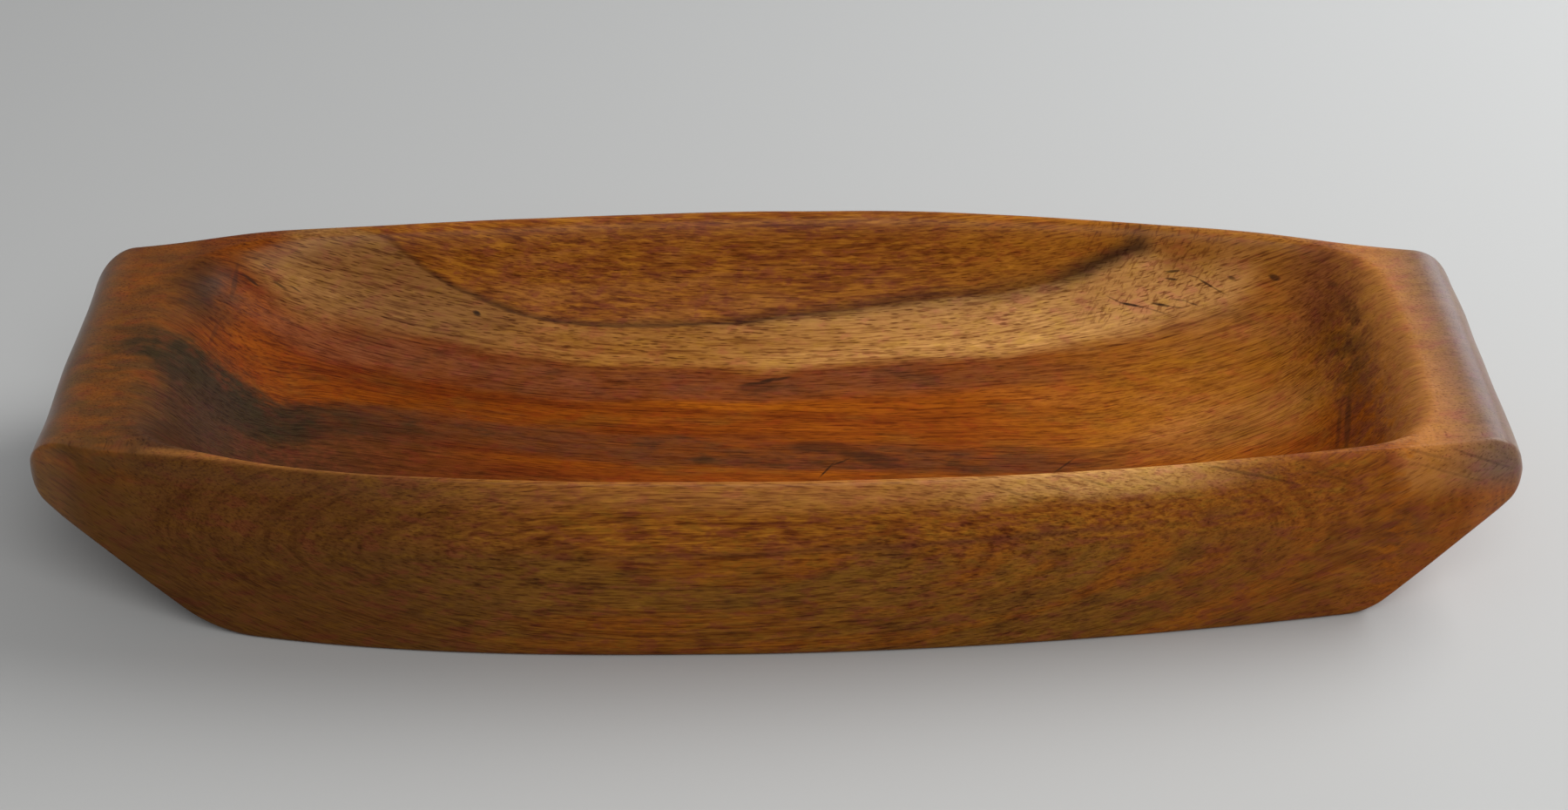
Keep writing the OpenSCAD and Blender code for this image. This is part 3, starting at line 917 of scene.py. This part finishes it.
def oiled_hardwood():
    """Red-brown hardwood cut close to its sapwood, oiled to a satin gloss."""
    wood = Finish("oiled_hardwood")
    figure = Figure(wood)
    colour = heartwood(wood, figure)
    colour = shaded_bands(wood, figure, colour)
    colour = sapwood(wood, figure, colour)
    colour = near_side(wood, figure, colour)
    colour = worn_ends(wood, figure, colour)
    colour, pore = pores_and_fibres(wood, figure, colour)
    colour = small_marks(wood, figure, colour)
    relief = wood.sum("SUBTRACT", wood.sum("MULTIPLY", figure.fibre, -0.5), wood.sum("MULTIPLY", pore, 0.6))
    bump = wood.node("ShaderNodeBump", {"Height": relief, "Strength": 0.7, "Distance": 0.00015})
    gloss = wood.sum("MULTIPLY_ADD", figure.cloud, 0.16, 0.38)
    handled = wood.all_of(wood.step(wood.sum("ABSOLUTE", figure.x), 158, 172), 0.85)
    handled = wood.sum("MAXIMUM", handled, wood.all_of(wood.step(figure.z, 42, 48), 0.2))
    shader = wood.node(
        "ShaderNodeBsdfPrincipled",
        {
            "Base Color": colour,
            "Roughness": wood.sum("ADD", gloss, wood.sum("MULTIPLY", pore, 0.15)),
            "Normal": bump.outputs[0],
            "Specular IOR Level": 0.04,
            "Coat Weight": wood.sum("MAXIMUM", handled, 0.04),
            "Coat IOR": 1.4,
            "Coat Roughness": 0.32,
        },
    )
    wood.node("ShaderNodeOutputMaterial", {"Surface": shader.outputs[0]})
    return wood.material


def pale_floor():
    """A plain matt floor of a pale grey."""
    floor = Finish("pale_floor")
    shader = floor.node("ShaderNodeBsdfPrincipled", {"Base Color": (0.52, 0.52, 0.51, 1), "Roughness": 0.9})
    floor.node("ShaderNodeOutputMaterial", {"Surface": shader.outputs[0]})
    return floor.material


def make_tray():
    mesh = skin_mesh("carved_tray", worn(body_points()))
    tray = bpy.data.objects.new("carved_tray", mesh)
    bpy.context.collection.objects.link(tray)
    mesh.materials.append(oiled_hardwood())
    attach(tray, "root")
    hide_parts("tray_body")


def make_floor():
    reach = 3.0
    mesh = bpy.data.meshes.new("floor")
    corners = [(-reach, -reach, 0), (reach, -reach, 0), (reach, reach, 0), (-reach, reach, 0)]
    mesh.from_pydata(corners, [], [(0, 1, 2, 3)])
    floor = bpy.data.objects.new("floor", mesh)
    bpy.context.collection.objects.link(floor)
    mesh.materials.append(pale_floor())


def make_camera():
    """The photograph's view, as fitted: from the front, at a chosen 33 degrees above the table."""
    elevation = math.radians(33)
    turn = math.radians(-0.27)
    roll = math.radians(-0.29)
    distance = 722.65
    target = Vector((2.14, 18.9, 17.26))
    level_run = math.cos(elevation)
    back = Vector((math.sin(turn) * level_run, -math.cos(turn) * level_run, math.sin(elevation)))
    level = (-back).cross(Vector((0, 0, 1))).normalized()
    upright = level.cross(-back)
    right = level * math.cos(roll) + upright * math.sin(roll)
    up = upright * math.cos(roll) - level * math.sin(roll)
    data = bpy.data.cameras.new("camera")
    data.sensor_width = 36
    data.lens = 64.69
    data.clip_start = 0.01
    camera = bpy.data.objects.new("camera", data)
    bpy.context.collection.objects.link(camera)
    turned = Matrix((right, up, back)).transposed().to_4x4()
    camera.matrix_world = Matrix.Translation((target + back * distance) * MM) @ turned
    bpy.context.scene.camera = camera


def make_lamp(name, place, aim, size, power, colour=(1.0, 1.0, 1.0)):
    data = bpy.data.lights.new(name, "AREA")
    data.shape = "DISK"
    data.size = size
    data.energy = power
    data.color = colour
    lamp = bpy.data.objects.new(name, data)
    bpy.context.collection.objects.link(lamp)
    lamp.location = place
    lamp.rotation_euler = (Vector(aim) - Vector(place)).to_track_quat("-Z", "Y").to_euler()


def make_light():
    """A soft lamp at the right, one in front, a low cool one behind, and pale light from all round."""
    make_lamp("key", (0.74, 0.28, 0.66), (0.08, 0, 0.02), 0.8, 8.6)
    make_lamp("front", (0.16, -0.75, 0.80), (0.05, 0, 0.02), 0.7, 4.4)
    make_lamp("window", (0.62, 0.85, 0.30), (0.17, 0, 0.04), 0.55, 1.3, (0.66, 0.82, 1.0))
    world = bpy.data.worlds.new("studio")
    world.use_nodes = True
    world.node_tree.nodes["Background"].inputs["Color"].default_value = (0.97, 0.98, 1.0, 1)
    world.node_tree.nodes["Background"].inputs["Strength"].default_value = 0.30
    bpy.context.scene.world = world


make_camera()
make_tray()
make_floor()
make_light()
bpy.context.scene.view_settings.view_transform = "Standard"
